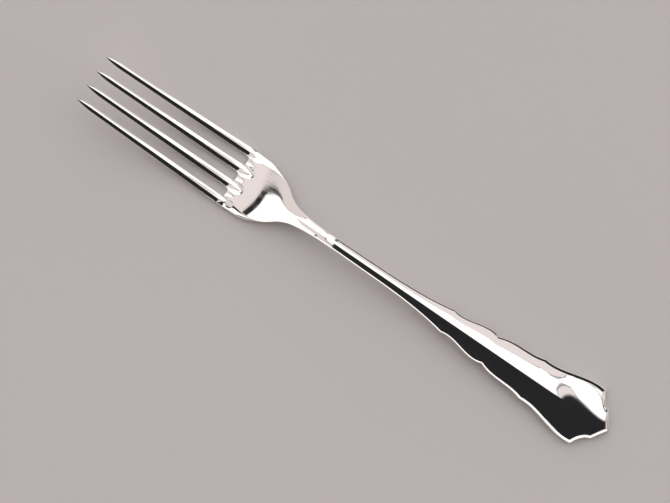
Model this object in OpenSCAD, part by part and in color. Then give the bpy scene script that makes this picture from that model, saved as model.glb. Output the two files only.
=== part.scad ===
// Dinner fork, forged and struck in one piece of polished metal.
// Drawn as one loft in millimetres: +X runs from the tine points to the
// handle's end, +Y across the fork, +Z up from the table it lies on.

/* [Lengths along the fork] */
// From the tine points to the bottom of the slots
tine_len = 56.1; // [50:0.2:64]
// From the bottom of the slots to the widest place of the head
bowl_len = 5.9; // [4.5:0.1:8]
// From the widest place of the head to the middle of the shoulders
shoulder_len = 12.4; // [10:0.1:16]
// From the middle of the shoulders to the narrowest place of the stem
neck_len = 24.6; // [18:0.1:30]
// From the narrowest place of the stem to the first points of the outline
flare_len = 41.5; // [32:0.1:50]
// From the first points to the notches
first_scallop_len = 17; // [13:0.1:21]
// From the notches to the second points
second_scallop_len = 16.9; // [13:0.1:21]
// From the second points to the corners of the handle's end
third_scallop_len = 22.4; // [18:0.1:27]
// From the corners to the last pair of cusps
corner_len = 4.7; // [3.6:0.1:6]
// From the last pair of cusps to the tip of the handle
tip_len = 3.5; // [2.6:0.1:5]

/* [Widths] */
// Swell of the head beyond the outer tines, on each side
head_swell = 0.05; // [0:0.05:1.2]
// Across the shoulders half way down
shoulder_w = 11.5; // [9:0.1:13]
// Across the stem at its narrowest
stem_w = 4; // [3.2:0.1:5]
// Across the first points
first_point_w = 8.9; // [7.5:0.1:10]
// Across the notches
notch_w = 10.7; // [9:0.1:12]
// Across the second points
second_point_w = 15.9; // [13.5:0.1:17]
// Across the corners of the handle's end
corner_w = 21.2; // [18.5:0.1:23]
// Across the last pair of cusps
cusp_w = 11; // [8.5:0.1:13]

/* [Tines] */
// Number of tines
tine_count = 4; // [3:1:5]
// Width of a tine at its root
tine_root_w = 3.05; // [2.4:0.05:3.4]
// Width of a tine where its point begins
tine_front_w = 2.05; // [1.4:0.05:2.4]
// Length of the sharpened point of a tine
point_len = 6.5; // [4:0.1:9]
// Width that is left at the very point
point_w = 0.3; // [0.2:0.05:0.5]
// From one tine's centre to the next at the roots
root_pitch = 6.2; // [5.6:0.05:6.6]
// From one tine's centre to the next at the points
front_pitch = 5.5; // [5:0.05:6]
// Length of the sloping run-out of each tine into the bowl
runout_len = 6.3; // [4.5:0.1:8]
// Length of the bevel at the bottom of each slot
bevel_len = 2.9; // [1.5:0.1:4]

/* [Thickness] */
// Above and below the parting line at the tine points
point_thick = 0.3; // [0.2:0.05:0.5]
// Above the parting line at the tine roots
root_top = 0.95; // [0.6:0.05:1.1]
// Below the parting line at the tine roots
root_under = 1.35; // [1:0.05:1.7]
// Above the parting line in the bowl
bowl_top = 1.5; // [1.2:0.05:1.8]
// Below the parting line in the bowl
bowl_under = 1.2; // [0.9:0.05:1.6]
// Above the parting line at the stem, without its ridge
stem_top = 1.5; // [1.1:0.05:2]
// Below the parting line at the stem
stem_under = 2; // [1.4:0.05:2.6]
// Above the parting line in the handle, without ridge and lip
handle_top = 0.8; // [0.5:0.05:1.2]
// Below the parting line in the handle
handle_under = 1.3; // [0.9:0.05:1.8]

/* [Relief] */
// Height of the sides over the middle where the bowl runs up into the stem
neck_dish = 0.5; // [0.2:0.05:0.9]
// Height of the ridge along the middle of the stem
stem_ridge = 0.3; // [0.1:0.05:0.6]
// Height of the ridge along the middle of the handle
handle_ridge = 0.9; // [0.4:0.05:1.2]
// Height of the smooth drop into which the ridge widens
drop_h = 0.75; // [0.4:0.05:1.2]
// Height of the low crown across the handle's end on which the drop lies
end_crown = 0.25; // [0:0.05:0.5]
// Height of the raised lip along the stem
stem_lip_h = 0.13; // [0.05:0.01:0.3]
// Height of the raised lip at the handle's end
end_lip_h = 0.3; // [0.15:0.01:0.5]
// Width of the lip's inner slope along the stem
stem_lip_w = 0.42; // [0.2:0.02:0.6]
// Width of the lip's inner slope at the handle's end
end_lip_w = 1.1; // [0.5:0.05:1.4]

/* [Hidden] */

// Places along the fork, from the tine points
x_slot = tine_len;
x_wide = x_slot + bowl_len;
x_shoulder = x_wide + shoulder_len;
x_knee = x_shoulder + neck_len * 0.26;
x_stem = x_shoulder + neck_len;
x_first = x_stem + flare_len;
x_notch = x_first + first_scallop_len;
x_second = x_notch + second_scallop_len;
x_corner = x_second + third_scallop_len;
x_cusp = x_corner + corner_len;
x_end = x_cusp + tip_len;
// Where the ridge begins to widen into the drop, and where the drop is full
x_dome = x_second + third_scallop_len * 0.4;
x_drop = x_second + third_scallop_len * 0.8;
dome_blend = 3;

// Slots between the tines, and where their round bottoms begin
slot_r = (root_pitch - tine_root_w) / 2;
x_root = x_slot - slot_r;
root_half = ((tine_count - 1) * root_pitch + tine_root_w) / 2;
last_tine = tine_count - 1;

// Outline as knots: place, half width, slope before and slope after.
// Between two knots each side is one smooth cubic curve.
knee_half = stem_w / 2 + (shoulder_w - stem_w) * 0.115;
outline = [
    [x_root, root_half, 0.05, 0.05],
    [x_wide, root_half + head_swell, 0, 0],
    [x_shoulder, shoulder_w / 2, -0.8, -0.8],
    [x_knee, knee_half, -0.17, -0.17],
    [x_stem, stem_w / 2, 0, 0.02],
    [x_first, first_point_w / 2, 0.19, -0.25],
    [x_notch, notch_w / 2, -0.36, 0.42],
    [x_second, second_point_w / 2, 0.33, -0.1],
    [x_corner, corner_w / 2, -0.2, -0.2]
];
last_knot = len(outline) - 1;
// Rows of the loft between one knot and the next
knot_rows = [8, 8, 4, 6, 9, 7, 7, 10];

// Handle's end: an ogee from the corner to the cusp, then a straight side to the tip
corner_place = [x_corner, corner_w / 2];
cusp_place = [x_cusp, cusp_w / 2];
ogee_shares = [[0.2, 0.43], [0.45, 0.84]];

// Bends of the side profile: place and half length, with a slope between each two.
// The slope of the handle follows from the others, so that the fork lies on its
// bowl and on its handle's end, where the back levels out as a foot.
bends = [
    [x_slot * 0.66, x_slot * 0.35],
    [x_wide + shoulder_len * 0.95, shoulder_len * 1.1],
    [x_shoulder + neck_len * 0.56, neck_len * 0.48],
    [x_second + third_scallop_len * 0.25, third_scallop_len * 0.3]
];
tine_slope = -0.42;
bowl_slope = -0.02;
neck_slope = 0.46;
end_slope = -0.1;

// Widths of the rounded edge
tine_edge_share = 0.2;
tine_lip_share = 0.15;
bowl_edge = root_half * 0.25;
stem_edge = stem_w * 0.045;
// Fall of a tine's crown to its sides, as a share of its height, and the curve of
// its sides: 1 is a plain roof
point_crown_share = 0.45;
root_crown_share = 0.08;
point_power = 2;
root_power = 1.2;
// Run-out of the tines: how far before the slots' bottoms it begins, the shares of
// its length over which it bends at its start and its end, and the share of a tine's
// half width over which its sides meet the bowl
runout_front = 1.2;
runout_start_share = 0.25;
runout_end_share = 0.07;
runout_side_share = 0.15;
// Bevel between two tines: the share of its height at the slot, and the share of its
// length that is left beside a tine
bevel_start_share = 0.2;
bevel_least_share = 0.1;
// Rise of the head's back towards the edges, as a share of its depth
back_share = 0.45;
// Width of the ridge at the stem and at the drop, as a share of the half width, and
// the share of its height that falls evenly over the whole width
ridge_reach = 0.58;
wide_reach = 0.82;
flank_share = 0.28;
ridge_power = 1.5;
drop_power = 1.5;

// Columns of the loft: over each tine, round each slot, and over the whole head
tine_cols = 4;
slot_cols = 4;
unit_cols = tine_cols + slot_cols;
cols = tine_count * unit_cols - slot_cols;
// Rows of a tine along its shank and along its point
shank_rows = 10;
shank_power = 1.5;
point_rows = 5;
tine_rows = shank_rows + point_rows;

// Steps from 0 to 1 with no kink in slope or bend
function clamp01(t) = max(0, min(1, t));
function smooth(t) = let (c = clamp01(t)) c * c * c * (10 - 15 * c + 6 * c * c);
function step(x, a, b) = smooth((x - a) / (b - a));
function mix(a, b, t) = a + (b - a) * t;

// Half width of the body and the slope of its side
function knot_of(x, k = 0) = k < last_knot - 1 && x > outline[k + 1][0] ? knot_of(x, k + 1) : k;
function cubic(p, q, t) =
    let (run = q[0] - p[0], rise = q[1] - p[1], s = p[3] * run, e = q[2] * run)
    p[1] + t * (s + t * (3 * rise - 2 * s - e + t * (s + e - 2 * rise)));
function cubic_slope(p, q, t) =
    let (run = q[0] - p[0], rise = q[1] - p[1], s = p[3] * run, e = q[2] * run)
    (s + t * (2 * (3 * rise - 2 * s - e) + t * 3 * (s + e - 2 * rise))) / run;
function half_width(x) =
    let (k = knot_of(x), p = outline[k], q = outline[k + 1])
    cubic(p, q, clamp01((x - p[0]) / (q[0] - p[0])));
function side_slope(x) =
    let (k = knot_of(x), p = outline[k], q = outline[k + 1], t = (x - p[0]) / (q[0] - p[0]))
    t == 1 ? (q[2] + q[3]) / 2 : cubic_slope(p, q, t);

// Thickness above and below the parting line, along the body
function top(x) =
    mix(mix(bowl_top, stem_top, step(x, x_wide, x_stem)), handle_top, step(x, x_stem, x_first));
function under(x) =
    mix(mix(bowl_under, stem_under, step(x, x_wide, x_stem)), handle_under, step(x, x_stem, x_notch))
    + end_slope * ramp(x - x_corner, corner_len);
function depth(x) = mix(root_under, under(x), step(x, x_root, x_wide + shoulder_len / 2));

// Height of the parting line: straight stretches joined by smooth bends
function ramp(d, half) =
    let (t = clamp01((d + half) / (2 * half)))
    2 * half * (t * t * t - t * t * t * t / 2) + max(0, d - half);
function past_bend(x, i) = i < 0 ? x : i < len(bends) ? ramp(x - bends[i][0], bends[i][1]) : 0;
function stretches(x) = [for (i = [0:len(bends)]) past_bend(x, i - 1) - past_bend(x, i)];
rest_runs = stretches(x_end) - stretches(x_wide);
handle_slope = (depth(x_end) - depth(x_wide)
    - rest_runs * [tine_slope, bowl_slope, neck_slope, 0, end_slope]) / rest_runs[3];
slopes = [tine_slope, bowl_slope, neck_slope, handle_slope, end_slope];
function profile(x) = slopes * stretches(x);

// The tines: half width, height, depth and the places of their centre lines
function tine_half(x) =
    mix(mix(tine_front_w, tine_root_w, clamp01((x - point_len) / (x_root - point_len))),
        point_w, pow(1 - clamp01((x - point_w / 2) / (point_len - point_w / 2)), 2)) / 2;
function tine_top(x) = mix(point_thick, root_top, sqrt(clamp01(x / x_root)));
function tine_under(x) = mix(point_thick, root_under, sqrt(clamp01(x / x_root)));
function pitch(x) = mix(front_pitch, root_pitch, clamp01(x / x_root));
function tine_y(k, x) = (k - last_tine / 2) * pitch(x);
function nearest_tine(x, y) = max(0, min(last_tine, round(y / pitch(x) + last_tine / 2)));
// Distance from the nearest tine's centre line: 0 there, 1 at its side
function off_tine(x, y) = abs(y - tine_y(nearest_tine(x, y), x)) / tine_half(min(x, x_root));
function tine_face(x, off) =
    let (along = smooth(x / x_root), power = mix(point_power, root_power, along))
    tine_top(x) * (1 - mix(point_crown_share, root_crown_share, along) * pow(min(1, off), power));

// Run-out of the tines into the bowl: 0 on the tine, 1 in the bowl. It ends in a
// round over each tine. Between two tines a bevel rises from the slot's round bottom,
// longest in its middle.
function bevel(x, off) =
    let (gap = clamp01((off - 1) * tine_root_w / 2 / slot_r),
        slot_end = x_root + slot_r * sqrt(1 - pow(1 - gap, 2)),
        long = bevel_len * (gap + bevel_least_share))
    max(bevel_start_share, clamp01((x - slot_end) / long));
function runout(x, y) =
    let (off = off_tine(x, y),
        finish = x_root + runout_len - tine_root_w / 2 * (1 - sqrt(1 - pow(min(1, off), 2))),
        start = x_root - runout_front,
        t = (x - start) / (finish - start),
        rise = ramp(t - runout_start_share, runout_start_share) - ramp(t - 1, runout_end_share))
    mix(rise / (1 - runout_start_share), bevel(x, off), step(off, 1, 1 + runout_side_share));

// Border along the whole outline: the rounded edge, and inside it the lip's slope
function edge_w(x) =
    x < x_root ? tine_edge_share * tine_half(x) :
    mix(mix(tine_edge_share * tine_root_w / 2, bowl_edge, step(x, x_root, x_slot + bowl_len / 2)),
        stem_edge, step(x, x_slot + bowl_len / 2, x_shoulder));
function lip_w(x) =
    x < x_root ? tine_lip_share * tine_half(x) :
    mix(mix(tine_lip_share * tine_root_w / 2, stem_lip_w, step(x, x_root, x_shoulder)),
        end_lip_w, step(x, x_first, x_corner));
function lip_at(x, inset) =
    mix(stem_lip_h, end_lip_h, step(x, x_notch, x_corner))
    * step(x, x_shoulder, x_shoulder + neck_len / 2) * smooth(1 - (inset - edge_w(x)) / lip_w(x));
function edge_fall(inset, wide) = 1 - sqrt(1 - pow(1 - clamp01(inset / wide), 2));

// Relief on the body: the raised sides at the neck, the ridge, and the drop it
// widens into
function dish(x, y) =
    neck_dish * step(x, x_slot + bowl_len / 2, x_shoulder + shoulder_len / 4)
    * (1 - step(x, x_shoulder, x_shoulder + neck_len / 2))
    * pow(min(1, abs(y) / half_width(x)), 2);
function roof(x, v) =
    let (height = mix(stem_ridge, handle_ridge, step(x, x_stem, x_second)),
        reach = mix(ridge_reach, wide_reach, step(x, x_notch, x_dome)))
    height * step(x, x_shoulder, x_stem)
    * mix(pow(max(0, 1 - v / reach), ridge_power), 1 - v, flank_share);
function dome(x, v) =
    let (u = max(0, x - x_dome) / (x_end - end_lip_w - x_dome))
    drop_h * pow(max(0, 1 - v * v - u * u * u), drop_power) + end_crown * (1 - v * v);
function relief(x, y) =
    let (inner = half_width(min(x, x_corner)) - edge_w(x) - lip_w(x), v = min(1, abs(y) / inner))
    mix(roof(x, v), dome(x, v), step(x, x_dome - dome_blend, x_drop));

// Top and back of the fork, before the edge is rounded
function face(x, y) =
    profile(x) + dish(x, y) + (x < x_wide ?
        mix(tine_face(min(x, x_root), off_tine(x, y)), top(x), runout(x, y)) :
        top(x) + relief(x, y));
function back(x, y) =
    let (v = min(1, abs(y) / half_width(min(x, x_corner))),
        rise = back_share * step(x, x_root, x_wide) * (1 - step(x, x_stem, x_notch)))
    profile(x) - (x < x_root ? tine_under(x) : depth(x) * (1 - rise * v * v));
function skin(p, upper) = [p[0], p[1], upper ? face(p[0], p[1]) : back(p[0], p[1])];

// Points across the border, from the top's inner line round the edge to the back's:
// shares of the rounded edge and of the lip, and whether the point is on the top
level_shares = [
    [1, 1, true], [1, 0.5, true], [1, 0, true], [0.3, 0, true], [0, 0, true],
    [0.3, 0, false], [1, 1, false]
];
on_top = level_shares[0];
on_back = level_shares[len(level_shares) - 1];

// One point of the border, from a place on the outline and its outward direction
function border(edge, level) =
    let (x = edge[0][0], inset = level[0] * edge_w(x) + level[1] * lip_w(x),
        p = edge[0] - inset * edge[1] / norm(edge[1]),
        lift = level[2] ? lip_at(x, inset) : 0,
        z = mix(skin(p, level[2])[2] + lift, profile(p[0]), edge_fall(inset, edge_w(x))))
    [p[0], p[1], z];
function wall(edges) = [for (e = edges) [for (l = level_shares) border(e, l)]];

// Bottom of a slot, from the tine before it round to the tine after it
function slot_edge(slot, m) =
    let (a = 180 * m / slot_cols, out = [-sin(a), cos(a)],
        middle = (tine_y(slot, x_root) + tine_y(slot + 1, x_root)) / 2)
    [[x_root, middle] - slot_r * out, out];

// Sides of a tine, by row from its root, and its small round point
function tine_row_x(i) =
    i <= shank_rows ? mix(x_root, point_len, pow(i / shank_rows, shank_power)) :
    mix(point_len, point_w / 2, (i - shank_rows) / point_rows);
function point_edge(k, m) =
    let (a = 180 * m / tine_cols, out = [-sin(a), -cos(a)], x = tine_row_x(tine_rows))
    [[x, tine_y(k, x)] + tine_half(x) * out, out];
function tine_edge(k, i, side) =
    let (x = tine_row_x(i))
    i == tine_rows ? point_edge(k, side < 0 ? 0 : tine_cols) :
    i > 0 ? [[x, tine_y(k, x) + side * tine_half(x)], [0, side]] :
    side < 0 ? (k == 0 ? side_edge(0, side) : slot_edge(k - 1, slot_cols)) :
    (k == last_tine ? side_edge(0, side) : slot_edge(k, 0));
function tine_point(k, i, m, level) =
    let (x = tine_row_x(i), inner = (1 - tine_edge_share - tine_lip_share) * tine_half(x))
    m == 0 ? border(tine_edge(k, i, -1), level) :
    m == tine_cols ? border(tine_edge(k, i, 1), level) :
    i == tine_rows ? border(point_edge(k, m), level) :
    skin([x, tine_y(k, x) + mix(-inner, inner, m / tine_cols)], level[2]);

// Handle's end at v, from -1 at one corner through 0 at the tip to 1 at the other
function bezier(a, b, c, d, t) =
    let (s = 1 - t) s * s * s * a + 3 * s * s * t * b + 3 * s * t * t * c + t * t * t * d;
reach = cusp_place - corner_place;
ogee = [for (share = ogee_shares) corner_place + [reach[0] * share[0], reach[1] * share[1]]];
function end_place(v) =
    let (a = abs(v), p = a > 0.5 ?
        bezier(corner_place, ogee[0], ogee[1], cusp_place, 2 - 2 * a) :
        mix([x_end, 0], cusp_place, 2 * a))
    [p[0], sign(v) * p[1]];
function end_edge(v, near = 0.1) =
    let (run = end_place(min(1, v + near)) - end_place(max(-1, v - near)),
        out = [run[1], -run[0]] / norm(run))
    [end_place(v), abs(v) == 1 ? out + [-outline[last_knot][2], v] : out];

// Sides of the body, by row from the tine roots to the corners of the end
rows_x = [for (k = [0:last_knot - 1]) each
    [for (i = [0:knot_rows[k] - 1]) mix(outline[k][0], outline[k + 1][0], i / knot_rows[k])], x_corner];
last_row = len(rows_x) - 1;
function side_edge(i, side) =
    i == 0 ? [[x_root, side * root_half], [0, side]] :
    i == last_row ? end_edge(side) :
    let (x = rows_x[i]) [[x, side * half_width(x)], [-side_slope(x), side]];

// Points of the body's top and back, the same in plan. The first row follows the
// tines and slots, the last one the handle's end, and those between change over.
function front_point(c, level) =
    let (k = floor(c / unit_cols), m = c - k * unit_cols)
    m > tine_cols ? border(slot_edge(k, m - tine_cols), level) : tine_point(k, 0, m, level);
front_row = [for (c = [0:cols]) front_point(c, on_top)];
end_row = [for (c = [0:cols]) border(end_edge(2 * c / cols - 1), on_top)];
function body_plan(x, b, c) =
    let (v = 2 * c / cols - 1, bow = 1 - clamp01((x - x_root) / (x_shoulder - x_root)),
        straight = [
            mix(x, b[0], abs(v)) + bow * (front_row[c][0] - x_root),
            b[1] * mix(front_row[c][1] / front_row[cols][1], v, step(x, x_slot, x_shoulder))],
        curved = [
            b[0] + end_row[c][0] - end_row[cols][0],
            b[1] * end_row[c][1] / end_row[cols][1]])
    mix(straight, curved, step(x, x_second, x_corner));
function body_row(i, level) =
    let (left = border(side_edge(i, -1), level), right = border(side_edge(i, 1), level))
    [left, for (c = [1:cols - 1])
        i == 0 ? front_point(c, level) :
        i == last_row ? border(end_edge(2 * c / cols - 1), level) :
        skin(body_plan(rows_x[i], right, c), level[2]), right];

// The whole surface as patches of rows of points, each with its facing
patches = [
    [[for (i = [0:last_row]) body_row(i, on_top)], true],
    [[for (i = [0:last_row]) body_row(i, on_back)], false],
    [wall([for (i = [0:last_row]) side_edge(i, 1)]), true],
    [wall([for (i = [0:last_row]) side_edge(i, -1)]), false],
    [wall([for (c = [0:cols]) end_edge(2 * c / cols - 1)]), false],
    for (slot = [0:last_tine - 1]) [wall([for (m = [0:slot_cols]) slot_edge(slot, m)]), true],
    for (k = [0:last_tine]) each [
        [[for (i = [0:tine_rows]) [for (m = [0:tine_cols]) tine_point(k, i, m, on_top)]], false],
        [[for (i = [0:tine_rows]) [for (m = [0:tine_cols]) tine_point(k, i, m, on_back)]], true],
        [wall([for (i = [0:tine_rows]) tine_edge(k, i, 1)]), false],
        [wall([for (i = [0:tine_rows]) tine_edge(k, i, -1)]), true],
        [wall([for (m = [0:tine_cols]) point_edge(k, m)]), true]
    ]
];

// Points of all patches, with the fork lying on z = 0 and its middle over the origin
function flat(rows) = [for (row = rows) each row];
points = [for (patch = patches) each flat(patch[0])];
floor_z = min([for (p = points) p[2]]);
function settled(p) = p - [x_end / 2, 0, floor_z];

// Two triangles for each cell of a patch, clockwise seen from outside
function cell(a, b, c, d, facing) = facing ? [[a, b, c], [a, c, d]] : [[a, c, b], [a, d, c]];
function patch_faces(rows, first, facing) =
    let (wide = len(rows[0]))
    [for (r = [0:len(rows) - 2], c = [0:wide - 2]) let (a = first + r * wide + c)
        each cell(a, a + 1, a + 1 + wide, a + wide, facing)];
firsts = [for (k = 0, n = 0; k < len(patches); n = n + len(flat(patches[k][0])), k = k + 1) n];
faces = [for (k = [0:len(patches) - 1]) each patch_faces(patches[k][0], firsts[k], patches[k][1])];

fork();

// The fork: tines, bowl, stem and handle are one piece of metal
module fork() {
    color("silver") polyhedron([for (p = points) settled(p)], faces, convexity = 8);
}
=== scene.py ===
"""Dinner fork on a pale table, seen from above.

The fork is drawn once more from the sizes of its solid, with many more rows and
columns, so that its polished faces reflect without facets. The relief and the
last bend differ a little from the solid's, to mirror what the photo's fork
mirrors. All its sizes are in millimetres until the mesh is made; +X runs from
the tine points to the handle's end, +Y across, +Z up.
"""
import math

import bmesh
import bpy
import numpy as np
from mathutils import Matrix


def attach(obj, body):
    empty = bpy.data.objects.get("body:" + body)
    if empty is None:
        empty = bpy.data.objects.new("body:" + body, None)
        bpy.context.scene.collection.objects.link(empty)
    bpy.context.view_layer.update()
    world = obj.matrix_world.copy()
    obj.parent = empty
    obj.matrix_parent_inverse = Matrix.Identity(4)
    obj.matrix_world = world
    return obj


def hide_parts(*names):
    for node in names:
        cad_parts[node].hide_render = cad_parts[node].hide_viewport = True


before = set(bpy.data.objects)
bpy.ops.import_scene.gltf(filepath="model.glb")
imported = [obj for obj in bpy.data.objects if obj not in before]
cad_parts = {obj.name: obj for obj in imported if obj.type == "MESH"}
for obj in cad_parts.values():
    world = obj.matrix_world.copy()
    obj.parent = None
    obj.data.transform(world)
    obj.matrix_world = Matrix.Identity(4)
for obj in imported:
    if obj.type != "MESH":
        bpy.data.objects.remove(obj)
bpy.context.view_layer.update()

MM = 0.001

# ---------------------------------------------------------------- fork: sizes
# Lengths, from the tine points to the handle's end
TINE_LEN, BOWL_LEN, SHOULDER_LEN, NECK_LEN, FLARE_LEN = 56.1, 5.9, 12.4, 24.6, 41.5
FIRST_SCALLOP_LEN, SECOND_SCALLOP_LEN, THIRD_SCALLOP_LEN = 17, 16.9, 22.4
CORNER_LEN, TIP_LEN = 4.7, 3.5
# Widths over both sides, and how far the head swells on each
HEAD_SWELL, SHOULDER_W, STEM_W = 0.05, 11.5, 4
FIRST_POINT_W, NOTCH_W, SECOND_POINT_W, CORNER_W, CUSP_W = 8.9, 10.7, 15.9, 21.2, 11
# Tines and the slots between them
TINE_COUNT, TINE_ROOT_W, TINE_FRONT_W, POINT_LEN, POINT_W = 4, 3.05, 2.05, 6.5, 0.3
ROOT_PITCH, FRONT_PITCH, RUNOUT_LEN, BEVEL_LEN = 6.2, 5.5, 6.3, 2.9
# Thickness above and below the parting line
POINT_THICK, ROOT_TOP, ROOT_UNDER, BOWL_TOP, BOWL_UNDER = 0.3, 0.95, 1.35, 1.5, 1.2
STEM_TOP, STEM_UNDER, HANDLE_TOP, HANDLE_UNDER = 1.5, 2, 0.8, 1.3
# Relief
NECK_DISH, STEM_RIDGE, HANDLE_RIDGE, DROP_H, END_CROWN = 0.5, 0.3, 0.9, 0.6, 0.3
STEM_LIP_H, END_LIP_H, STEM_LIP_W, END_LIP_W = 0.12, 0.27, 0.38, 0.95

# Places of the knee in the neck and of the drop in the last scallop, and how far
# the knee's width lies from the stem's to the shoulder's
KNEE_SHARE, DOME_SHARE, KNEE_SWELL = 0.26, 0.4, 0.115
X_SLOT = TINE_LEN
X_WIDE = X_SLOT + BOWL_LEN
X_SHOULDER = X_WIDE + SHOULDER_LEN
X_KNEE = X_SHOULDER + NECK_LEN * KNEE_SHARE
X_STEM = X_SHOULDER + NECK_LEN
X_FIRST = X_STEM + FLARE_LEN
X_NOTCH = X_FIRST + FIRST_SCALLOP_LEN
X_SECOND = X_NOTCH + SECOND_SCALLOP_LEN
X_CORNER = X_SECOND + THIRD_SCALLOP_LEN
X_CUSP = X_CORNER + CORNER_LEN
X_END = X_CUSP + TIP_LEN
X_DOME = X_SECOND + THIRD_SCALLOP_LEN * DOME_SHARE
SLOT_R = (ROOT_PITCH - TINE_ROOT_W) / 2
X_ROOT = X_SLOT - SLOT_R
ROOT_HALF = ((TINE_COUNT - 1) * ROOT_PITCH + TINE_ROOT_W) / 2
KNEE_HALF = STEM_W / 2 + (SHOULDER_W - STEM_W) * KNEE_SWELL
LAST_TINE = TINE_COUNT - 1

# Outline as knots: place, half width, slope before and slope after
OUTLINE = np.array([
    [X_ROOT, ROOT_HALF, 0.05, 0.05],
    [X_WIDE, ROOT_HALF + HEAD_SWELL, 0, 0],
    [X_SHOULDER, SHOULDER_W / 2, -0.8, -0.8],
    [X_KNEE, KNEE_HALF, -0.17, -0.17],
    [X_STEM, STEM_W / 2, 0, 0.02],
    [X_FIRST, FIRST_POINT_W / 2, 0.19, -0.25],
    [X_NOTCH, NOTCH_W / 2, -0.36, 0.42],
    [X_SECOND, SECOND_POINT_W / 2, 0.33, -0.1],
    [X_CORNER, CORNER_W / 2, -0.2, -0.2],
])
KNOT_REACH = 1e-9  # this near to its end a cubic counts as at the knot
# Inner points of the end's ogees, as shares of the way from corner to cusp in x and y
OGEE_SHARES = [[0.2, 0.43], [0.45, 0.84]]

# Bends of the side profile, as place and half length, and the slopes between them
BENDS = [
    [X_SLOT * 0.66, X_SLOT * 0.35],
    [X_WIDE + SHOULDER_LEN * 0.95, SHOULDER_LEN * 1.1],
    [X_SHOULDER + NECK_LEN * 0.56, NECK_LEN * 0.48],
    [X_SECOND + THIRD_SCALLOP_LEN * 0.42, THIRD_SCALLOP_LEN * 0.25],
]
TINE_SLOPE, BOWL_SLOPE, NECK_SLOPE, END_SLOPE = -0.42, -0.02, 0.46, -0.1

# Rounded edge and lip, as shares of a tine's half width, and the body's edges
TINE_EDGE_SHARE, TINE_LIP_SHARE = 0.12, 0.1
BOWL_EDGE, STEM_EDGE = ROOT_HALF * 0.25, STEM_W * 0.045
# Crowned faces: how far they fall from middle to side, and the powers of the curves
POINT_CROWN, ROOT_CROWN, BACK_SHARE = 0.45, 0.2, 0.45
POINT_POWER, ROOT_POWER, FLANK_POWER, DOME_POWER = 2, 1.2, 1.5, 1.5
# Ridge: its reach to the side on the stem and at the drop, and its straight share
RIDGE_REACH, WIDE_REACH, FLANK_SHARE = 0.58, 0.82, 0.28
# Lengths before and after X_DOME in which the ridge turns into the drop
DOME_BEFORE, DOME_AFTER = 6.5, 8
# Run-out: length ahead of X_ROOT, then shares for its two bends and its soft side
RUNOUT_FRONT, RUNOUT_START, RUNOUT_END, RUNOUT_SIDE = 0.5, 0.25, 0.13, 0.15
# Bevel between two tines: its least height and its least length, as shares
BEVEL_START, BEVEL_LEAST = 0.2, 0.1

# Fineness of the mesh
TINE_COLS, SLOT_COLS = 16, 12
COLS = TINE_COUNT * TINE_COLS + LAST_TINE * SLOT_COLS
SHANK_ROWS, POINT_ROWS = 110, 30
KNOT_ROWS = [40, 60, 30, 50, 80, 50, 50, 90]
LIP_RINGS, TOP_RINGS, BACK_RINGS = 9, 11, 9
WELD = 1e-4  # points nearer than this become one


# ------------------------------------------------------------ fork: formulas
def clamp01(t):
    return np.clip(t, 0, 1)


def smooth(t):
    c = clamp01(t)
    return c * c * c * (10 - 15 * c + 6 * c * c)


def step(x, a, b):
    return smooth((x - a) / (b - a))


def mix(a, b, t):
    return a + (b - a) * t


def ramp(d, half):
    """0 before a bend, d after it, and a smooth curve over its length."""
    t = clamp01((d + half) / (2 * half))
    return 2 * half * (t ** 3 - t ** 4 / 2) + np.maximum(0, d - half)


def knots_at(x):
    k = np.searchsorted(OUTLINE[:, 0], x, side="left") - 1
    k = np.clip(k, 0, len(OUTLINE) - 2)
    return OUTLINE[k], OUTLINE[k + 1]


def half_width(x):
    p, q = knots_at(x)
    run, rise = q[..., 0] - p[..., 0], q[..., 1] - p[..., 1]
    s, e, t = p[..., 3] * run, q[..., 2] * run, clamp01((x - p[..., 0]) / run)
    return p[..., 1] + t * (s + t * (3 * rise - 2 * s - e + t * (s + e - 2 * rise)))


def side_slope(x):
    """Slope of the outline; at a knot, the mean of those before and after it."""
    p, q = knots_at(x)
    run, rise = q[..., 0] - p[..., 0], q[..., 1] - p[..., 1]
    s, e, t = p[..., 3] * run, q[..., 2] * run, (x - p[..., 0]) / run
    inside = (s + t * (2 * (3 * rise - 2 * s - e) + t * 3 * (s + e - 2 * rise))) / run
    return np.where(t > 1 - KNOT_REACH, (q[..., 2] + q[..., 3]) / 2, inside)


def top(x):
    bowl_to_stem = mix(BOWL_TOP, STEM_TOP, step(x, X_WIDE, X_STEM))
    return mix(bowl_to_stem, HANDLE_TOP, step(x, X_STEM, X_FIRST))


def under(x):
    bowl_to_stem = mix(BOWL_UNDER, STEM_UNDER, step(x, X_WIDE, X_STEM))
    foot = -END_SLOPE * ramp(x - X_CORNER, CORNER_LEN)
    return mix(bowl_to_stem, HANDLE_UNDER, step(x, X_STEM, X_NOTCH)) - foot


def depth(x):
    return mix(ROOT_UNDER, under(x), step(x, X_ROOT, X_WIDE + SHOULDER_LEN / 2))


def stretches(x):
    """Length run so far along each straight stretch of the side profile."""
    past = [x] + [ramp(x - place, half) for place, half in BENDS] + [0 * x]
    return [past[i] - past[i + 1] for i in range(len(BENDS) + 1)]


def solve_handle_slope():
    """Slope that puts the backs of the bowl and of the end at one height."""
    tine, bowl, neck, handle, end = [
        a - b for a, b in zip(stretches(X_END), stretches(X_WIDE))]
    drop = TINE_SLOPE * tine + BOWL_SLOPE * bowl + NECK_SLOPE * neck + END_SLOPE * end
    return (depth(X_END) - depth(X_WIDE) - drop) / handle


SLOPES = [TINE_SLOPE, BOWL_SLOPE, NECK_SLOPE, solve_handle_slope(), END_SLOPE]


def profile(x):
    """Height of the parting line."""
    return sum(slope * run for slope, run in zip(SLOPES, stretches(x)))


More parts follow.
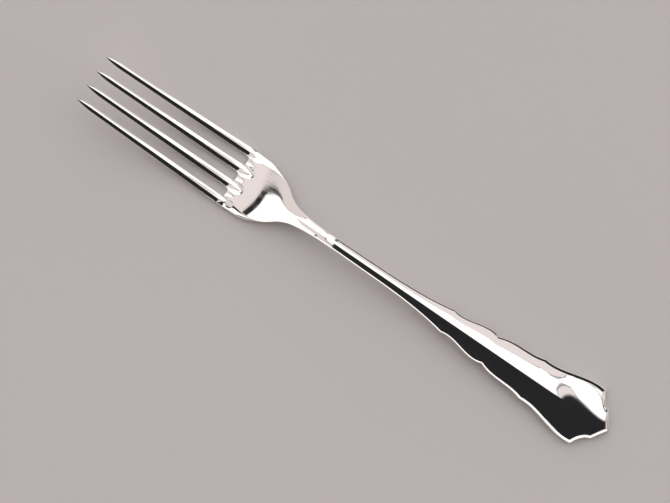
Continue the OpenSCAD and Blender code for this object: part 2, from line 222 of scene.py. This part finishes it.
def tine_half(x):
    along = clamp01((x - POINT_LEN) / (X_ROOT - POINT_LEN))
    shank = mix(TINE_FRONT_W, TINE_ROOT_W, along)
    point = (1 - clamp01((x - POINT_W / 2) / (POINT_LEN - POINT_W / 2))) ** 2
    return mix(shank, POINT_W, point) / 2


def tine_top(x):
    return mix(POINT_THICK, ROOT_TOP, np.sqrt(clamp01(x / X_ROOT)))


def tine_under(x):
    return mix(POINT_THICK, ROOT_UNDER, np.sqrt(clamp01(x / X_ROOT)))


def pitch(x):
    return mix(FRONT_PITCH, ROOT_PITCH, clamp01(x / X_ROOT))


def tine_y(k, x):
    return (k - LAST_TINE / 2) * pitch(x)


def off_tine(x, y):
    """Distance from the nearest tine's middle, in half widths of the tine."""
    nearest = np.clip(np.rint(y / pitch(x) + LAST_TINE / 2), 0, LAST_TINE)
    return np.abs(y - tine_y(nearest, x)) / tine_half(np.minimum(x, X_ROOT))


def tine_face(x, off):
    along = smooth(x / X_ROOT)
    crown = mix(POINT_CROWN, ROOT_CROWN, along)
    power = mix(POINT_POWER, ROOT_POWER, along)
    return tine_top(x) * (1 - crown * np.minimum(1, off) ** power)


def runout(x, y):
    """Run-out of the tines into the bowl: 0 on the tine, 1 in the bowl."""
    off = off_tine(x, y)
    over_tine = 1 - np.sqrt(1 - np.minimum(1, off) ** 2)
    finish = X_ROOT + RUNOUT_LEN - TINE_ROOT_W / 2 * over_tine
    start = X_ROOT - RUNOUT_FRONT
    t = (x - start) / (finish - start)
    slope = ramp(t - RUNOUT_START, RUNOUT_START) - ramp(t - 1, RUNOUT_END)
    slope = slope / (1 - RUNOUT_START)
    # Between two tines a bevel rises from the slot's round bottom
    gap = clamp01((off - 1) * TINE_ROOT_W / 2 / SLOT_R)
    slot_end = X_ROOT + SLOT_R * np.sqrt(1 - (1 - gap) ** 2)
    bevel = (x - slot_end) / (BEVEL_LEN * gap + BEVEL_LEN * BEVEL_LEAST)
    bevel = np.clip(bevel, BEVEL_START, 1)
    return mix(slope, bevel, step(off, 1, 1 + RUNOUT_SIDE))


def edge_w(x):
    bowl_middle = X_SLOT + BOWL_LEN / 2
    root = TINE_EDGE_SHARE * TINE_ROOT_W / 2
    head = mix(root, BOWL_EDGE, step(x, X_ROOT, bowl_middle))
    body = mix(head, STEM_EDGE, step(x, bowl_middle, X_SHOULDER))
    return np.where(x < X_ROOT, TINE_EDGE_SHARE * tine_half(x), body)


def lip_w(x):
    root = TINE_LIP_SHARE * TINE_ROOT_W / 2
    head = mix(root, STEM_LIP_W, step(x, X_ROOT, X_SHOULDER))
    body = mix(head, END_LIP_W, step(x, X_FIRST, X_CORNER))
    return np.where(x < X_ROOT, TINE_LIP_SHARE * tine_half(x), body)


def lip_at(x, inset):
    along = step(x, X_SHOULDER, X_SHOULDER + NECK_LEN / 2)
    height = mix(STEM_LIP_H, END_LIP_H, step(x, X_NOTCH, X_CORNER))
    return height * along * smooth(1 - (inset - edge_w(x)) / lip_w(x))


def edge_fall(inset, wide):
    return 1 - np.sqrt(1 - (1 - clamp01(inset / wide)) ** 2)


def dish(x, y):
    along = step(x, X_SLOT + BOWL_LEN / 2, X_SHOULDER + SHOULDER_LEN / 4)
    along = along * (1 - step(x, X_SHOULDER, X_SHOULDER + NECK_LEN / 2))
    return NECK_DISH * along * np.minimum(1, np.abs(y) / half_width(x)) ** 2


def roof(x, v):
    """The ridge along the middle of stem and handle."""
    height = mix(STEM_RIDGE, HANDLE_RIDGE, step(x, X_STEM, X_SECOND))
    height = height * step(x, X_SHOULDER, X_STEM)
    reach = mix(RIDGE_REACH, WIDE_REACH, step(x, X_NOTCH, X_DOME))
    flank = np.maximum(0, 1 - v / reach) ** FLANK_POWER
    return height * mix(flank, 1 - v, FLANK_SHARE)


def dome(x, v):
    """The drop on the handle's end, and the crown under it."""
    u = np.maximum(0, x - X_DOME) / (X_END - END_LIP_W - X_DOME)
    drop = np.maximum(0, 1 - (v * v + u * u) ** 2) ** DOME_POWER
    return DROP_H * drop + END_CROWN * (1 - v * v)


def relief(x, y):
    inner = half_width(np.minimum(x, X_CORNER)) - edge_w(x) - lip_w(x)
    v = np.minimum(1, np.abs(y) / inner)
    change = step(x, X_DOME - DOME_BEFORE, X_DOME + DOME_AFTER)
    return mix(roof(x, v), dome(x, v), change)


def face(x, y):
    head = mix(tine_face(np.minimum(x, X_ROOT), off_tine(x, y)), top(x), runout(x, y))
    body = top(x) + relief(x, y)
    return profile(x) + dish(x, y) + np.where(x < X_WIDE, head, body)


def back(x, y):
    v = np.minimum(1, np.abs(y) / half_width(np.minimum(x, X_CORNER)))
    rise = BACK_SHARE * step(x, X_ROOT, X_WIDE) * (1 - step(x, X_STEM, X_NOTCH))
    body = depth(x) * (1 - rise * v * v)
    return profile(x) - np.where(x < X_ROOT, tine_under(x), body)


# ------------------------------------------------------- fork: rows of points
def skin(plan, upper):
    z = (face if upper else back)(plan[..., 0], plan[..., 1])
    return np.concatenate([plan, z[..., None]], -1)


def quarter(start, end, count):
    return [1 - math.sin(a) for a in np.linspace(start, end, count)[1:]]


# Rings of the border from the top over the edge to the back: how much of the
# edge's width and of the lip's width they lie inside the outline, and on which face
LEVELS = [(1, s, True) for s in np.linspace(1, 0, LIP_RINGS)]
LEVELS += [(s, 0, True) for s in quarter(0, math.pi / 2, TOP_RINGS)]
LEVELS += [(s, 0, False) for s in quarter(math.pi / 2, 0, BACK_RINGS)]
LEVELS += [(1, 1, False)]
ON_TOP, ON_BACK = LEVELS[0], LEVELS[-1]


def border(place, out, level):
    """Points of one ring, from places on the outline and their outward directions."""
    x = place[..., 0]
    inset = level[0] * edge_w(x) + level[1] * lip_w(x)
    reach = np.linalg.norm(out, axis=-1, keepdims=True)
    plan = place - inset[..., None] * out / reach
    lift = lip_at(x, inset) if level[2] else 0
    point = skin(plan, level[2])
    fall = edge_fall(inset, edge_w(x))
    point[..., 2] = mix(point[..., 2] + lift, profile(plan[..., 0]), fall)
    return point


def wall(place, out):
    return np.stack([border(place, out, level) for level in LEVELS], 1)


def slot_edge(slot, m):
    a = math.pi * m / SLOT_COLS
    out = np.stack([-np.sin(a), np.cos(a)], -1)
    middle = (tine_y(slot, X_ROOT) + tine_y(slot + 1, X_ROOT)) / 2
    return np.array([X_ROOT, middle]) - SLOT_R * out, out


def tine_row_x():
    shank = mix(X_ROOT, POINT_LEN, np.arange(SHANK_ROWS) / SHANK_ROWS)
    point = mix(POINT_LEN, POINT_W / 2, np.linspace(0, 1, POINT_ROWS + 1))
    return np.append(shank, point)


def point_edge(k, m):
    a = math.pi * m / TINE_COLS
    out = np.stack([-np.sin(a), -np.cos(a)], -1)
    x = POINT_W / 2
    return np.array([x, tine_y(k, x)]) + tine_half(x) * out, out


def tine_edge(k, side):
    x = tine_row_x()
    place = np.stack([x, tine_y(k, x) + side * tine_half(x)], -1)
    return place, np.stack([0 * x, 0 * x + side], -1)


def tine_sheet(k, level):
    x = tine_row_x()
    inner = (1 - TINE_EDGE_SHARE - TINE_LIP_SHARE) * tine_half(x)
    across = np.linspace(-1, 1, TINE_COLS + 1)
    y = tine_y(k, x)[:, None] + inner[:, None] * across
    sheet = skin(np.stack([np.broadcast_to(x[:, None], y.shape), y], -1), level[2])
    sheet[:, 0] = border(*tine_edge(k, -1), level)
    sheet[:, -1] = border(*tine_edge(k, 1), level)
    sheet[-1] = border(*point_edge(k, np.arange(TINE_COLS + 1)), level)
    return sheet


def bezier(a, b, c, d, t):
    s = 1 - t
    return s * s * s * a + 3 * s * s * t * b + 3 * s * t * t * c + t * t * t * d


def end_place(v):
    """Outline of the end: an ogee from each corner to its cusp, then the tip."""
    corner, cusp = np.array([X_CORNER, CORNER_W / 2]), np.array([X_CUSP, CUSP_W / 2])
    first, second = [corner + (cusp - corner) * np.array(s) for s in OGEE_SHARES]
    a = np.abs(v)[:, None]
    curved = bezier(corner, first, second, cusp, 2 - 2 * a)
    straight = mix(np.array([X_END, 0]), cusp, 2 * a)
    p = np.where(a > 0.5, curved, straight)
    return np.stack([p[:, 0], np.sign(v) * p[:, 1]], -1)


def end_edge(near=0.1):
    v = np.linspace(-1, 1, COLS + 1)
    run = end_place(np.minimum(1, v + near)) - end_place(np.maximum(-1, v - near))
    out = np.stack([run[:, 1], -run[:, 0]], -1)
    out = out / np.linalg.norm(out, axis=-1, keepdims=True)
    # At the corners the direction lies between the end's and the side's
    for i in (0, -1):
        out[i] += [-OUTLINE[-1][2], v[i]]
    return end_place(v), out


def body_rows_x():
    rows = [np.linspace(OUTLINE[k][0], OUTLINE[k + 1][0], n, endpoint=False)
            for k, n in enumerate(KNOT_ROWS)]
    return np.append(np.concatenate(rows), X_CORNER)


def side_edge(side):
    x = body_rows_x()
    place = np.stack([x, side * half_width(x)], -1)
    out = np.stack([-side_slope(x), 0 * x + side], -1)
    out[0] = [0, side]
    last_place, last_out = end_edge()
    at = 0 if side < 0 else -1
    place[-1], out[-1] = last_place[at], last_out[at]
    return place, out


def front_row(level):
    row = []
    for k in range(TINE_COUNT):
        row.append(tine_sheet(k, level)[0])
        if k < LAST_TINE:
            row.append(border(*slot_edge(k, np.arange(1, SLOT_COLS)), level))
    return np.concatenate(row)


def body_sheet(level):
    """Rows from the slots' round bottoms to the end, bent like each at its side."""
    x = body_rows_x()[:, None]
    front, end = front_row(level), border(*end_edge(), level)
    left, right = border(*side_edge(-1), level), border(*side_edge(1), level)
    v = np.linspace(-1, 1, COLS + 1)
    bow = 1 - clamp01((x - X_ROOT) / (X_SHOULDER - X_ROOT))
    edge_x, edge_y = right[:, 0][:, None], right[:, 1][:, None]
    straight_x = mix(x, edge_x, np.abs(v)) + bow * (front[:, 0] - X_ROOT)
    evenly = step(x, X_SLOT, X_SHOULDER)
    straight_y = edge_y * mix(front[:, 1] / front[-1, 1], v, evenly)
    curved_x = edge_x + end[:, 0] - end[-1, 0]
    curved_y = edge_y * end[:, 1] / end[-1, 1]
    change = step(x, X_SECOND, X_CORNER)
    plan_x = mix(straight_x, curved_x, change)
    plan_y = mix(straight_y, curved_y, change)
    sheet = skin(np.stack([plan_x, plan_y], -1), level[2])
    sheet[:, 0], sheet[:, -1] = left, right
    sheet[0], sheet[-1] = front, end
    return sheet


def patches():
    """Grids of points, each with whether its faces' corners go down a row first."""
    yield body_sheet(ON_TOP), True
    yield body_sheet(ON_BACK), False
    yield wall(*side_edge(1)), True
    yield wall(*side_edge(-1)), False
    yield wall(*end_edge()), False
    for slot in range(LAST_TINE):
        yield wall(*slot_edge(slot, np.arange(SLOT_COLS + 1))), True
    for k in range(TINE_COUNT):
        yield tine_sheet(k, ON_TOP), False
        yield tine_sheet(k, ON_BACK), True
        left, right = wall(*tine_edge(k, -1)), wall(*tine_edge(k, 1))
        point = wall(*point_edge(k, np.arange(TINE_COLS + 1)))
        left[-1], right[-1] = point[0], point[-1]
        yield right, False
        yield left, True
        yield point, True


def fork_mesh():
    points, quads, first = [], [], 0
    for rows, down_first in patches():
        count, wide = rows.shape[:2]
        a = first + np.arange(count - 1)[:, None] * wide + np.arange(wide - 1)
        second, fourth = (a + wide, a + 1) if down_first else (a + 1, a + wide)
        quads.append(np.stack((a, second, a + wide + 1, fourth), -1).reshape(-1, 4))
        points.append(rows.reshape(-1, 3))
        first += count * wide
    points = np.concatenate(points)
    points -= [X_END / 2, 0, points[:, 2].min()]
    mesh = bpy.data.meshes.new("fork_polished")
    mesh.from_pydata((points * MM).tolist(), [], np.concatenate(quads).tolist())
    work = bmesh.new()
    work.from_mesh(mesh)
    bmesh.ops.remove_doubles(work, verts=work.verts, dist=WELD * MM)
    work.to_mesh(mesh)
    work.free()
    mesh.shade_smooth()
    return mesh


# ---------------------------------------------------------------------- nodes
# The Mix node's sockets for its share, its two colours and the mixed colour
MIX_SHARE, MIX_BELOW, MIX_ABOVE, MIXED = 0, 6, 7, 2


def tree_of(owner):
    owner.use_nodes = True
    owner.node_tree.nodes.clear()
    return owner.node_tree


def add(tree, kind, inputs=(), **settings):
    """A new node, with a value or another node's output for each input given."""
    node = tree.nodes.new(kind)
    for key, value in settings.items():
        setattr(node, key, value)
    for key, value in dict(inputs).items():
        if isinstance(value, bpy.types.NodeSocket):
            tree.links.new(value, node.inputs[key])
        else:
            node.inputs[key].default_value = value
    return node


def blend(tree, share, below, above):
    """Colour that goes from below to above as the share goes from 0 to 1."""
    inputs = {MIX_SHARE: share, MIX_BELOW: below, MIX_ABOVE: above}
    return add(tree, "ShaderNodeMix", inputs, data_type="RGBA").outputs[MIXED]


def noise(tree, where, scale, detail):
    inputs = {"Vector": where, "Scale": scale, "Detail": detail}
    return add(tree, "ShaderNodeTexNoise", inputs).outputs[0]


def srgb(*levels):
    return [((v / 255 + 0.055) / 1.055) ** 2.4 for v in levels] + [1]


# ------------------------------------------------------------------ materials
SILVER_TINTS = (0.93, 0.915, 0.9, 1), (0.955, 0.945, 0.935, 1)
TINT_SCALE, TINT_DETAIL = 90.0, 4.0
# Fine polishing lines, stretched along the fork
LINE_STRETCH, LINE_SCALE, LINE_DETAIL = (60, 900, 900), 1.0, 6.0
LINE_LEAST, LINE_MOST, SMOOTHEST, ROUGHEST = 0.35, 0.75, 0.03, 0.08
BUMP_STRENGTH, BUMP_DEPTH = 0.05, 0.00002

TABLE_TINTS = srgb(212, 207, 207), srgb(215, 210, 210)
TABLE_SCALE, TABLE_DETAIL, TABLE_ROUGHNESS = 6.0, 3.0, 0.9


def silver():
    material = bpy.data.materials.new("polished_silver")
    tree = tree_of(material)
    where = add(tree, "ShaderNodeTexCoord").outputs["Object"]
    tint = blend(tree, noise(tree, where, TINT_SCALE, TINT_DETAIL), *SILVER_TINTS)
    stretched = add(tree, "ShaderNodeMapping", {
        "Vector": where, "Scale": LINE_STRETCH})
    lines = noise(tree, stretched.outputs[0], LINE_SCALE, LINE_DETAIL)
    rough = add(tree, "ShaderNodeMapRange", {
        "Value": lines, "From Min": LINE_LEAST, "From Max": LINE_MOST,
        "To Min": SMOOTHEST, "To Max": ROUGHEST})
    bump = add(tree, "ShaderNodeBump", {
        "Strength": BUMP_STRENGTH, "Distance": BUMP_DEPTH, "Height": lines})
    shader = add(tree, "ShaderNodeBsdfPrincipled", {
        "Base Color": tint, "Metallic": 1.0, "Roughness": rough.outputs[0],
        "Normal": bump.outputs[0]})
    add(tree, "ShaderNodeOutputMaterial", {"Surface": shader.outputs[0]})
    return material


def table_top():
    material = bpy.data.materials.new("pale_table")
    tree = tree_of(material)
    where = add(tree, "ShaderNodeTexCoord").outputs["Object"]
    tint = blend(tree, noise(tree, where, TABLE_SCALE, TABLE_DETAIL), *TABLE_TINTS)
    shader = add(tree, "ShaderNodeBsdfPrincipled", {
        "Base Color": tint, "Roughness": TABLE_ROUGHNESS})
    add(tree, "ShaderNodeOutputMaterial", {"Surface": shader.outputs[0]})
    return material


# --------------------------------------------------------------------- pieces
def put(name, mesh, material):
    mesh.materials.append(material)
    piece = bpy.data.objects.new(name, mesh)
    bpy.context.scene.collection.objects.link(piece)
    return piece


fork = put("fork_polished", fork_mesh(), silver())
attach(fork, "root")
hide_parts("fork")

# Table, in metres
TABLE_HALF = 8
SQUARE = (-1, -1), (1, -1), (1, 1), (-1, 1)
table_mesh = bpy.data.meshes.new("table")
table_mesh.from_pydata(
    [(x * TABLE_HALF, y * TABLE_HALF, 0) for x, y in SQUARE], [], [(0, 1, 2, 3)])
table = put("table", table_mesh, table_top())

# --------------------------------------------------------------- surroundings
# The picture's right and up in the fork's frame
TURN = math.radians(34.367)
RIGHT = (math.cos(TURN), math.sin(TURN), 0)
UP = (-math.sin(TURN), math.cos(TURN), 0)
# Shares of right and up in the directions across and along the fork
ACROSS_SHARE, ALONG_SHARE = 0.68, 0.684

DARK, WHITE = (0.02, 0.02, 0.022, 1), (1.25, 1.22, 1.2, 1)
PINK, GREY, LINE = srgb(236, 226, 224), srgb(226, 215, 212), srgb(150, 143, 143)
SHADE, PALE = srgb(208, 200, 198), srgb(225, 218, 215)

# Wall, panel, light on the right and its tones, large light, gap, low light and
# horizon. Each pair is a soft edge: where it begins and where it ends.
WALL_SIDE, WALL_FOOT, WALL_FALL = (0.05, 0.08), (-0.1, -0.08), 0.2
PANEL_FOOT, PANEL_RIGHT, PANEL_LEFT = (-0.095, -0.082), (0.11, 0.13), (0.06, 0.09)
SIDE_START, SIDE_FOOT = (0.09, 0.11), (-0.03, 0.03)
SIDE_STEP, SIDE_STEP_H = (0.2, 0.24), 0.125
TONE_FALL, TONE_SLOPE = 0.27, 2.5
TONE_LINE, TONE_WHITE, TONE_SHADE = (0.255, 0.265), (0.28, 0.295), (0.6, 0.85)
LARGE_CURVE_START, LARGE_CURVE, LARGE_SLOPE, LARGE_STEP = 0.27, 3.0, 0.8, 0.03
BELOW_LARGE, LARGE_FOOT, LARGE_SPLIT = (0.054, 0.062), (0.076, 0.084), (0.1, 0.14)
GAP_SLOPE, GAP_START, GAP_END = 2.8, (0.078, 0.09), (0.134, 0.148)
GAP_NEAR, GAP_FAR, GAP_FOOT = (-0.12, -0.09), (0.08, 0.11), (-0.09, -0.08)
LOW_SIDE, LOW_TOP = (0.2, 0.26), (-0.34, -0.28)
LOW_START, LOW_END = (-0.2, -0.16), (-0.03, 0)
FAR_FOOT, FAR_START, FAR_END, FAR_LIFT = (0.34, 0.48), (0.02, 0.08), (0.4, 0.5), 0.3
HORIZON = (0.05, 0.18)


class Field:
    """A number that changes with the direction, and arithmetic on it as nodes."""

    def __init__(self, tree, output):
        self.tree, self.output = tree, output

    def math(self, operation, *values):
        inputs = {i: getattr(v, "output", v) for i, v in enumerate(values)}
        node = add(self.tree, "ShaderNodeMath", inputs, operation=operation)
        return Field(self.tree, node.outputs[0])

    def __add__(self, other):
        return self.math("ADD", self, other)

    def __sub__(self, other):
        return self.math("SUBTRACT", self, other)

    def __rsub__(self, other):
        return self.math("SUBTRACT", other, self)

    def __mul__(self, other):
        return self.math("MULTIPLY", self, other)

    def at_least(self, low):
        return self.math("MAXIMUM", self, low)

    def at_most(self, high):
        return self.math("MINIMUM", self, high)

    def beyond(self, start):
        return (self - start).at_least(0)

    def rise(self, edge):
        """0 before the soft edge, 1 after it."""
        node = add(self.tree, "ShaderNodeMapRange", {
            "Value": self.output, "From Min": edge[0], "From Max": edge[1]},
            interpolation_type="SMOOTHSTEP")
        return Field(self.tree, node.outputs[0])

    def fall(self, edge):
        return 1 - self.rise(edge)

    def between(self, start, end):
        return self.rise(start) * self.fall(end)


def surroundings():
    """Lights and dark areas that the polish mirrors, painted one over the other."""
    world = bpy.data.worlds.new("studio")
    bpy.context.scene.world = world
    tree = tree_of(world)
    towards = add(tree, "ShaderNodeTexCoord").outputs["Generated"]

    def part(axis):
        inputs = {0: towards, 1: axis}
        dot = add(tree, "ShaderNodeVectorMath", inputs, operation="DOT_PRODUCT")
        return Field(tree, dot.outputs["Value"])

    def paint(below, share, above):
        return blend(tree, share.output, below, above)

    right, up, height = part(RIGHT), part(UP), part((0, 0, 1))
    left = right * -1
    across, along = up + right * ACROSS_SHARE, right - up * ALONG_SHARE
    near_side, far_side = across.at_most(0), across.at_least(0)

    # The large light's foot rises to the left and to both sides of the fork's middle
    curve = left.beyond(LARGE_CURVE_START)
    foot = curve * curve * LARGE_CURVE - near_side * LARGE_SLOPE
    over_foot = up - (foot + far_side.at_most(LARGE_STEP))
    below_large = over_foot.fall(BELOW_LARGE)

    # Wall on the left, seen by the neck's flanks; its foot falls away to the left
    wall_foot = up + left.beyond(WALL_FALL)
    wall_share = left.rise(WALL_SIDE) * wall_foot.rise(WALL_FOOT)
    colour = paint(DARK, wall_share * below_large, GREY)

    # Panel straight above
    panel = up.rise(PANEL_FOOT) * right.fall(PANEL_RIGHT) * left.fall(PANEL_LEFT)
    colour = paint(colour, panel * below_large, PINK)

    # Light on the right, seen by the handle's +Y side: pink below, white above
    inward = across + right.beyond(TONE_FALL) * TONE_SLOPE
    tone = paint(PINK, inward.rise(TONE_LINE), LINE)
    tone = paint(tone, inward.rise(TONE_WHITE), WHITE)
    tone = paint(tone, right.rise(TONE_SHADE), SHADE)
    side_foot = across - right.rise(SIDE_STEP) * SIDE_STEP_H
    colour = paint(colour, side_foot.rise(SIDE_FOOT) * right.rise(SIDE_START), tone)

    # Large light towards the top of the picture, toned like the other on its right
    large = over_foot.rise(LARGE_FOOT)
    colour = paint(colour, large * right.fall(LARGE_SPLIT), WHITE)
    colour = paint(colour, large * right.rise(LARGE_SPLIT), tone)

    # Dark gap between the panel and the large light, seen as the neck's dark band
    gap = (left + near_side * GAP_SLOPE).between(GAP_START, GAP_END)
    gap = gap * across.between(GAP_NEAR, GAP_FAR) * up.rise(GAP_FOOT)
    colour = paint(colour, gap, DARK)

    # Light low on the left, seen by the bowl's lower edge
    low = left.rise(LOW_SIDE) * up.fall(LOW_TOP) * along.between(LOW_START, LOW_END)
    colour = paint(colour, low, WHITE)

    # Horizon: pale, but dark and higher towards the top of the picture
    far = up.rise(FAR_FOOT) * along.between(FAR_START, FAR_END)
    above_horizon = (height - far * FAR_LIFT).rise(HORIZON)
    colour = paint(paint(PALE, far, DARK), above_horizon, colour)

    sky = add(tree, "ShaderNodeBackground", {"Color": colour, "Strength": 1.0})
    add(tree, "ShaderNodeOutputWorld", {"Surface": sky.outputs[0]})


surroundings()

# --------------------------------------------------------------------- camera
CAMERA_HEIGHT, VIEW_W, SENSOR_W = 0.8, 0.2197, 36
MIDDLE = (-0.0055, -0.0020, 0.007)
camera_data = bpy.data.cameras.new("camera")
camera_data.sensor_width = SENSOR_W
camera_data.lens = SENSOR_W * CAMERA_HEIGHT / VIEW_W
camera = bpy.data.objects.new("camera", camera_data)
camera.location = (MIDDLE[0], MIDDLE[1], MIDDLE[2] + CAMERA_HEIGHT)
camera.rotation_euler = (0, 0, TURN)
bpy.context.scene.collection.objects.link(camera)
bpy.context.scene.camera = camera

bpy.context.scene.view_settings.view_transform = "Standard"
